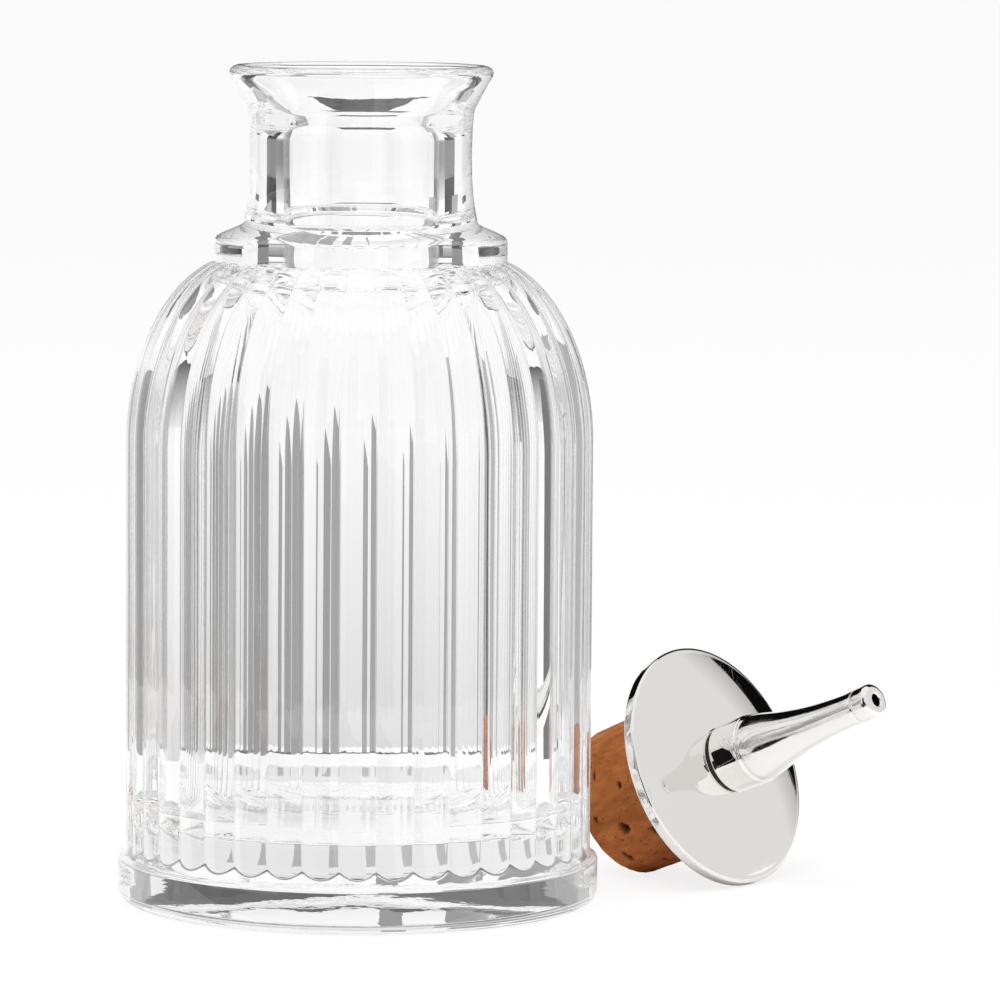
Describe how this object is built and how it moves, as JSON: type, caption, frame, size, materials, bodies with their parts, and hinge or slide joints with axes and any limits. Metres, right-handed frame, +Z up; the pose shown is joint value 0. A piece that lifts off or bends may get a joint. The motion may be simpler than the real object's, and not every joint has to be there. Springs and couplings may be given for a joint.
{
  "type": "bitters bottle",
  "caption": "Round clear glass bitters bottle with fine vertical ribs, a collar, a waisted neck and a flared lip, with its cork and metal dash pourer stopper lying beside it.",
  "frame": {"origin": "centre of the bottle's base, on the surface it stands on", "axes": "+Z up along the bottle's axis, -Y towards the front, +X towards the side where the stopper lies"},
  "size_m": [0.0958, 0.062, 0.1043],
  "materials": {
    "clear_glass": "polished clear",
    "cork": "natural cork, matte",
    "polished_disc": "polished, fine scratches",
    "tube_brass": "turned",
    "seal_rubber": "matte black",
    "polished_spout": "polished"
  },
  "bodies": {
    "bottle": {"glass_bottle": "clear_glass"},
    "stopper": {"cork_stopper": "cork", "cap_disc": "polished_disc", "pour_tube": "tube_brass"},
    "seal": {"nozzle_seal": "seal_rubber"},
    "nozzle": {"spout_nozzle": "polished_spout"}
  },
  "joints": [
    {"name": "stopper_lift", "type": "slide", "parent": "bottle", "child": "stopper", "axis": [0, 0, 1], "range_m": [0, 0.125]},
    {"name": "nozzle_turn", "type": "hinge", "parent": "stopper", "child": "seal", "pos_m": [0.04437, 0.01586, 0.01438], "axis": [0.7087, -0.5884, 0.3892], "range_deg": [0, 1801]},
    {"name": "nozzle_rise", "type": "slide", "parent": "seal", "child": "nozzle", "axis": [0.7087, -0.5884, 0.3892], "range_m": [0, 0.005]}
  ],
  "couplings": [
    {"joint": "nozzle_turn", "follows": "nozzle_rise", "rad_per_m": 6283.2}
  ]
}
